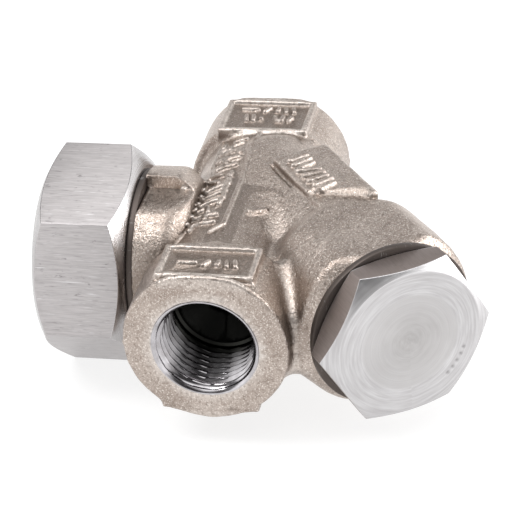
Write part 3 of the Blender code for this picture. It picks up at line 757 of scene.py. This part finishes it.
class Look:
    """A Principled material whose nodes are added one call at a time, in millimetres of local space."""

    def __init__(self, name, metallic=1.0, **uniform):
        self.material = bpy.data.materials.new(name)
        self.material.use_nodes = True
        self.tree = self.material.node_tree
        self.shader = self.tree.nodes["Principled BSDF"]
        self.shader.inputs["Metallic"].default_value = metallic
        for socket, value in uniform.items():
            self.shader.inputs[socket.replace("_", " ")].default_value = value
        coordinates = self.tree.nodes.new("ShaderNodeTexCoord")
        self.where = self.scaled(coordinates.outputs["Object"], (1 / MM, 1 / MM, 1 / MM))

    def add(self, kind, output, inputs, **settings):
        """A node of some kind with these inputs, which are sockets or values. Gives one of its outputs."""
        node = self.tree.nodes.new(kind)
        for key, value in settings.items():
            setattr(node, key, value)
        for socket, value in inputs.items():
            if isinstance(value, bpy.types.NodeSocket):
                self.tree.links.new(value, node.inputs[socket])
            else:
                node.inputs[socket].default_value = value
        return node.outputs[output]

    def scaled(self, vector, scale):
        """A vector with each side multiplied by its own number."""
        return self.add("ShaderNodeMapping", "Vector", {"Vector": vector, "Scale": scale})

    def noise(self, size, detail=2.0, rough=0.5, stretch=(1, 1, 1)):
        """Cloudy noise with features of about that size, longer where a stretch is over 1."""
        vector = self.scaled(self.where, tuple(1 / (size * times) for times in stretch))
        inputs = {"Vector": vector, "Scale": 1.0, "Detail": detail, "Roughness": rough}
        return self.add("ShaderNodeTexNoise", 0, inputs)

    def radius(self):
        """The distance from local Z, in millimetres."""
        flat = self.scaled(self.where, (1, 1, 0))
        return self.add("ShaderNodeVectorMath", "Value", {0: flat}, operation="LENGTH")

    def rings(self, size, detail=3.0):
        """Noise that changes only with the distance from local Z, as turning leaves it."""
        steps = self.math("MULTIPLY", self.radius(), 1 / size)
        inputs = {"W": steps, "Scale": 1.0, "Detail": detail}
        return self.add("ShaderNodeTexNoise", 0, inputs, noise_dimensions="1D")

    def around(self, size, length, detail=3.0):
        """Noise in short arcs about local Z, of that size across and that length at a radius of 10 mm."""
        parts = self.add("ShaderNodeSeparateXYZ", 0, {0: self.where}).node
        turn = self.math("ARCTAN2", parts.outputs[1], parts.outputs[0])
        across = self.math("MULTIPLY", self.radius(), 1 / size)
        around = self.math("MULTIPLY", turn, 10 / length)
        place = self.add("ShaderNodeCombineXYZ", 0, {0: across, 1: around})
        return self.add("ShaderNodeTexNoise", 0, {"Vector": place, "Scale": 1.0, "Detail": detail})

    def math(self, operation, a, b):
        """Two numbers put together by a Math node."""
        return self.add("ShaderNodeMath", 0, {0: a, 1: b}, operation=operation)

    def between(self, factor, low, high, to_low=0.0, to_high=1.0):
        """The factor, carried from one range to another and kept inside it."""
        inputs = {"Value": factor, "From Min": low, "From Max": high, "To Min": to_low, "To Max": to_high}
        return self.add("ShaderNodeMapRange", 0, inputs)

    def blend(self, factor, a, b):
        """The first colour, going over to the second as the factor goes from 0 to 1."""
        colours = [(*value, 1) if isinstance(value, tuple) else value for value in (a, b)]
        inputs = {0: factor, 6: colours[0], 7: colours[1]}
        return self.add("ShaderNodeMix", 2, inputs, data_type="RGBA")

    def attribute(self, name):
        """A number that was stored with the mesh's points."""
        return self.add("ShaderNodeAttribute", "Fac", {}, attribute_name=name)

    def finish(self, colour, roughness, height, depth):
        """Joins the colour, the roughness and a bump of some depth in millimetres to the shader."""
        inputs = {"Height": height, "Distance": depth * MM, "Strength": 1.0}
        bump = self.add("ShaderNodeBump", "Normal", inputs)
        for socket, value in (("Base Color", colour), ("Roughness", roughness), ("Normal", bump)):
            self.tree.links.new(value, self.shader.inputs[socket])
        return self.material


def cast_look():
    """Pickled stainless casting: warm grey and sandy, with painted glints on its brightest grit, painted shade in
    its creases and on its pads' floors, painted highlights on its edges and raised marks, and painted shade deep
    in its bores."""
    look = Look("cast_stainless")
    sand = look.noise(0.75, detail=3, rough=0.6)
    grit = look.noise(0.3, detail=2)
    clouds = look.noise(9, detail=3)
    machined = look.attribute("machined")
    colour = look.blend(look.between(clouds, 0.35, 0.65), (0.385, 0.32, 0.28), (0.48, 0.41, 0.365))
    colour = look.blend(look.between(sand, 0.48, 0.34, 0.0, 0.45), colour, (0.17, 0.13, 0.105))
    colour = look.blend(look.between(grit, 0.46, 0.36, 0.0, 0.25), colour, (0.16, 0.125, 0.10))
    # painted glints: the brightest grit specks are coloured near white, standing in for the sparkle of the blasted
    # skin
    colour = look.blend(look.between(grit, 0.57, 0.67, 0.0, 0.7), colour, (0.88, 0.82, 0.76))
    # painted shade: creases and pad floors darkened towards deep brown, standing in for occlusion
    crease_shade = look.math("MULTIPLY", look.attribute("crease"), look.between(clouds, 0.3, 0.7, 0.6, 0.95))
    colour = look.blend(crease_shade, colour, (0.13, 0.10, 0.08))
    blotches = look.noise(1.5, detail=3, rough=0.65)
    colour = look.blend(look.between(blotches, 0.5, 0.36, 0.0, 0.2), colour, (0.22, 0.18, 0.15))
    # painted highlight: edges and raised marks lightened, standing in for the glint of the lit grain
    edge_highlight = look.math("MULTIPLY", look.attribute("edge"), look.between(sand, 0.35, 0.6, 0.3, 0.85))
    colour = look.blend(edge_highlight, colour, (0.78, 0.72, 0.67))
    colour = look.blend(look.math("MULTIPLY", machined, 0.8), colour, (0.60, 0.59, 0.58))
    colour = look.blend(look.attribute("shade"), colour, (0.015, 0.015, 0.014))
    roughness = look.between(sand, 0.35, 0.65, 0.32, 0.44)
    height = look.math("ADD", sand, look.math("MULTIPLY", grit, 0.35))
    height = look.math("MULTIPLY", height, look.between(machined, 0, 1, 1.0, 0.08))
    return look.finish(colour, roughness, height, 0.19)


def drawn_look(name, light, dark, fleck, roughness, wear):
    """Drawn hexagon bar: fine lines along the axis, long scratches and small dark flecks."""
    look = Look(name)
    lines = look.noise(0.2, detail=3, stretch=(1, 1, 22))
    bands = look.noise(1.6, detail=2, stretch=(1, 1, 6))
    scratches = look.noise(0.22, detail=1, stretch=(1, 1, 16))
    flecks = look.noise(0.9, detail=3, rough=0.65, stretch=(1, 1, 2.2))
    patches = look.noise(6, detail=2)
    grain = look.math("ADD", lines, look.math("MULTIPLY", bands, 0.4))
    colour = look.blend(look.between(grain, 0.5, 0.9), dark, light)
    colour = look.blend(look.between(scratches, 0.68, 0.76, 0.0, wear), colour, (0.85, 0.85, 0.86))
    dashes = look.noise(0.3, detail=1, stretch=(1, 1, 9))
    colour = look.blend(look.between(dashes, 0.64, 0.74, 0.0, wear), colour, fleck)
    spots = look.math("MULTIPLY", look.between(flecks, 0.62, 0.72), look.between(patches, 0.42, 0.6))
    colour = look.blend(look.math("MULTIPLY", spots, 0.75), colour, fleck)
    rough = look.between(bands, 0.3, 0.7, roughness - 0.05 * wear, roughness + 0.2 * wear)
    height = look.math("ADD", lines, look.math("MULTIPLY", scratches, 0.6))
    return look.finish(colour, rough, height, 0.01)


def turned_look(name, light, dark, roughness, depth=0.02, wear=0.2):
    """A turned surface: fine rings about the axis and a few stray scratches."""
    look = Look(name)
    fine = look.rings(0.22)
    broad = look.rings(1.7, detail=2)
    clouds = look.noise(5, detail=3)
    scratches = look.noise(0.25, detail=1, stretch=(9, 1, 9))
    colour = look.blend(look.between(look.math("ADD", fine, broad), 0.6, 1.4), dark, light)
    colour = look.blend(look.between(scratches, 0.7, 0.78, 0.0, wear), colour, (0.95, 0.95, 0.96))
    rough = look.between(clouds, 0.3, 0.7, roughness - 0.05, roughness + 0.07)
    return look.finish(colour, rough, look.math("ADD", fine, look.math("MULTIPLY", broad, 0.3)), depth)


def faced_look():
    """The strainer cap's turned face: a brighter rim with wavy tool marks around a disc with painted shade, darker
    towards its middle.
    """
    look = Look("faced_bar", Anisotropic=0.5)
    fine = look.rings(0.25)
    waves = look.around(0.5, 5)
    clouds = look.noise(6, detail=2)
    rim = look.between(look.radius(), FACE_DISC - 0.3, FACE_DISC + 0.2)
    # painted shade: the disc darkens towards its middle, standing in for the turned face's own reflections
    disc = look.blend(look.between(look.radius(), 1.5, 9), (0.40, 0.385, 0.38), (0.50, 0.485, 0.485))
    disc = look.blend(look.between(clouds, 0.3, 0.7, 0.0, 0.35), disc, (0.58, 0.57, 0.57))
    disc = look.blend(look.between(look.around(0.8, 9), 0.35, 0.7, 0.0, 0.3), disc, (0.60, 0.59, 0.59))
    band = look.blend(look.between(waves, 0.35, 0.65), (0.50, 0.485, 0.49), (0.62, 0.61, 0.615))
    colour = look.blend(rim, disc, band)
    colour = look.blend(look.between(fine, 0.35, 0.65, 0.0, 0.12), colour, (0.3, 0.29, 0.29))
    # painted shade: the punched dots darkened by their depth
    colour = look.blend(look.math("MULTIPLY", look.attribute("dent_shade"), 0.7), colour, (0.16, 0.15, 0.15))
    rough = look.between(clouds, 0.3, 0.7, 0.28, 0.38)
    return look.finish(colour, rough, look.math("ADD", fine, look.math("MULTIPLY", waves, rim)), 0.012)


def thread_look():
    """A cut thread, bright at its mouth and darker the deeper it lies."""
    look = Look("cut_thread")
    tool_marks = look.noise(0.2, detail=2, stretch=(4, 4, 1))
    stains = look.noise(3, detail=2)
    colour = look.blend(tool_marks, (0.40, 0.385, 0.40), (0.62, 0.60, 0.62))
    colour = look.blend(look.between(stains, 0.4, 0.65, 0.0, 0.5), colour, (0.25, 0.23, 0.23))
    colour = look.blend(look.attribute("shade"), colour, (0.02, 0.02, 0.018))
    rough = look.between(tool_marks, 0.3, 0.7, 0.1, 0.2)
    return look.finish(colour, rough, tool_marks, 0.006)


def sheet_look(name, light, dark, roughness, stretch):
    """Rolled or pressed metal: soft lines one way and slight staining."""
    look = Look(name)
    lines = look.noise(0.25, detail=2, stretch=stretch)
    stains = look.noise(2.5, detail=3)
    colour = look.blend(look.between(stains, 0.35, 0.65), dark, light)
    colour = look.blend(look.between(lines, 0.4, 0.7, 0.0, 0.35), colour, light)
    rough = look.between(lines, 0.3, 0.7, roughness - 0.06, roughness + 0.08)
    return look.finish(colour, rough, lines, 0.02)


# ---- the stage ----

CAMERA_FROM_DATUM = Vector((369.5, 88.0, 222.6)) * MM
CAMERA_AIM = Vector((-0.8416, -0.1925, -0.5046))
CAMERA_UP = Vector((-0.5066, -0.0427, 0.8611))
LENS, SENSOR = 149.5, 36


def make_camera():
    """The camera, at the photograph's angle."""
    data = bpy.data.cameras.new("camera")
    data.lens = LENS
    data.sensor_width = SENSOR
    data.clip_start = 0.01
    camera = bpy.data.objects.new("camera", data)
    bpy.context.scene.collection.objects.link(camera)
    back = -CAMERA_AIM.normalized()
    right = CAMERA_UP.cross(back).normalized()
    turn = Matrix((right, back.cross(right), back)).transposed().to_4x4()
    camera.matrix_world = Matrix.Translation(DATUM + CAMERA_FROM_DATUM) @ turn
    bpy.context.scene.camera = camera


def make_light(name, place, size, power):
    """A square soft light that points at the datum."""
    data = bpy.data.lights.new(name, "AREA")
    data.energy = power
    data.size = size
    light = bpy.data.objects.new(name, data)
    bpy.context.scene.collection.objects.link(light)
    light.location = place
    light.rotation_euler = (DATUM - Vector(place)).to_track_quat("-Z", "Y").to_euler()


# Brightness of the studio by height above the horizon, as the sine of the angle: a white sweep low down, a
# dark gap over it and a broad soft light overhead
STUDIO = [(0.0, 1.6), (0.28, 1.5), (0.42, 0.2), (0.66, 0.2), (0.82, 1.4), (1.0, 2.2)]
UNLIT_SIDE = (0.84, 0.32, 0.44)  # the way to the unlit side of the studio
UNLIT_START, UNLIT_FULL, UNLIT_LEVEL = 0.84, 0.96, 0.3  # cosines of the angle from it, and how dim it gets
BACKDROP = 0.96


def make_studio():
    """Soft light from all round, seen by the camera as a plain pale backdrop."""
    world = bpy.data.worlds.new("studio")
    bpy.context.scene.world = world
    world.use_nodes = True
    nodes, links = world.node_tree.nodes, world.node_tree.links
    direction = nodes.new("ShaderNodeTexCoord")
    split = nodes.new("ShaderNodeSeparateXYZ")
    ramp = nodes.new("ShaderNodeValToRGB")
    stops = ramp.color_ramp.elements
    brightest = max(level for _, level in STUDIO)
    for number, (height, level) in enumerate(STUDIO):
        stop = stops[number] if number < 2 else stops.new(height)
        stop.position = height
        stop.color = (*[level / brightest] * 3, 1)
    seen = nodes.new("ShaderNodeLightPath")
    pick = nodes.new("ShaderNodeMix")
    pick.inputs[3].default_value = BACKDROP
    facing = nodes.new("ShaderNodeVectorMath")
    facing.operation = "DOT_PRODUCT"
    facing.inputs[1].default_value = Vector(UNLIT_SIDE).normalized()
    shade = nodes.new("ShaderNodeMapRange")
    limits = {"From Min": UNLIT_START, "From Max": UNLIT_FULL, "To Min": 1.0, "To Max": UNLIT_LEVEL}
    for socket, value in limits.items():
        shade.inputs[socket].default_value = value
    dim = nodes.new("ShaderNodeMath")
    dim.operation = "MULTIPLY"
    background = nodes["Background"]
    scale = nodes.new("ShaderNodeMath")
    scale.operation = "MULTIPLY"
    scale.inputs[1].default_value = brightest
    links.new(direction.outputs["Generated"], split.inputs[0])
    links.new(split.outputs["Z"], ramp.inputs[0])
    links.new(ramp.outputs["Color"], scale.inputs[0])
    links.new(direction.outputs["Generated"], facing.inputs[0])
    links.new(facing.outputs["Value"], shade.inputs["Value"])
    links.new(scale.outputs[0], dim.inputs[0])
    links.new(shade.outputs[0], dim.inputs[1])
    links.new(dim.outputs[0], pick.inputs[2])
    links.new(seen.outputs["Is Camera Ray"], pick.inputs[0])
    links.new(pick.outputs[0], background.inputs["Color"])


def make_floor():
    """A white floor that glows a little, so that only a faint shadow shows under the trap."""
    half = 3000
    corners = [(-half, -half, 0), (half, -half, 0), (half, half, 0), (-half, half, 0)]
    floor = mesh_object("floor", corners, [(0, 1, 2, 3)], Matrix.Identity(4))
    look = Look("white_floor", metallic=0.0, Roughness=0.8, Emission_Strength=0.8)
    look.shader.inputs["Base Color"].default_value = (0.24, 0.24, 0.24, 1)
    look.shader.inputs["Emission Color"].default_value = (1, 1, 1, 1)
    floor.data.materials.append(look.material)


def make_looks():
    """Every material, by the name that main() calls it."""
    bright_bar = (0.50, 0.475, 0.475), (0.38, 0.36, 0.36), (0.16, 0.15, 0.15)
    # painted shade: the strainer cap's flats take a darker, browner copy of the drawn bar, for the shade and the
    # reflected casting seen on them
    dark_bar = (0.28, 0.24, 0.225), (0.24, 0.205, 0.19), (0.2, 0.17, 0.16)
    return {
        "cast": cast_look(),
        "cap_flats": drawn_look("drawn_bar", *bright_bar, roughness=0.36, wear=0.4),
        "cap_faces": turned_look("turned_bar", (0.50, 0.485, 0.485), (0.40, 0.385, 0.385), 0.24),
        "shaded_flats": drawn_look("dark_bar", *dark_bar, roughness=0.5, wear=0.05),
        "bright_faces": faced_look(),
        "threads": thread_look(),
        # painted shade: the gaskets are coloured dark brown, standing in for the shade in the gaps beside the caps
        "joint_ring": turned_look("joint_ring", (0.13, 0.11, 0.10), (0.09, 0.075, 0.068), 0.5),
        "bimetal": sheet_look("bimetal", (0.62, 0.54, 0.40), (0.46, 0.40, 0.30), 0.36, (20, 1, 1)),
        "valve_steel": turned_look("hardened_steel", (0.66, 0.66, 0.65), (0.52, 0.52, 0.51), 0.24),
        "screen": sheet_look("screen_steel", (0.64, 0.64, 0.62), (0.50, 0.50, 0.48), 0.34, (1, 1, 8)),
    }


PLATES = [node for node in BODY_OF if node.startswith("bimetal_plate")]
# CAD nodes that keep their own mesh, with the look of each
KEPT = {
    "valve_seat": "valve_steel",
    "valve_stem": "valve_steel",
    "adjusting_nut": "valve_steel",
    "lock_nut": "valve_steel",
    "strainer_screen": "screen",
}


def main():
    """Builds the stage, then every piece."""
    make_camera()
    make_studio()
    make_light("key", (0.15, -0.45, 0.75), size=0.35, power=3)
    make_light("side", (-0.15, 0.75, 0.3), size=0.5, power=5)
    make_floor()
    looks = make_looks()
    make_casting(looks["cast"])
    make_socket_thread("outlet_thread", looks["threads"], FLOW_ALONG, OUTLET_FACE)
    make_socket_thread("inlet_thread", looks["threads"], -FLOW_ALONG, -INLET_FACE)
    make_trap_cap([looks["cap_flats"], looks["cap_faces"]])
    make_strainer_cap([looks["shaded_flats"], looks["bright_faces"]])
    make_ring("trap_cap_gasket", TRAP_AXIS, looks["joint_ring"], 0.2, swell=0.2)
    make_ring("strainer_cap_gasket", STRAINER_AXIS, looks["joint_ring"], 0.3, swell=0.2)
    make_ring("seat_gasket", TRAP_AXIS, looks["joint_ring"], 0.15)
    make_ring("top_washer", TRAP_AXIS, looks["valve_steel"], 0.15)
    for node in PLATES:
        make_ring(node, TRAP_AXIS, looks["bimetal"], 0.12)
    for node in ("screen_inlet_ring", "screen_cap_ring"):
        make_ring(node, STRAINER_AXIS, looks["screen"], 0.15)
    for node, look in KEPT.items():
        kept = frame["nodes"][node].data
        kept.materials.clear()
        kept.materials.append(looks[look])
    bpy.context.scene.view_settings.view_transform = "Standard"


main()
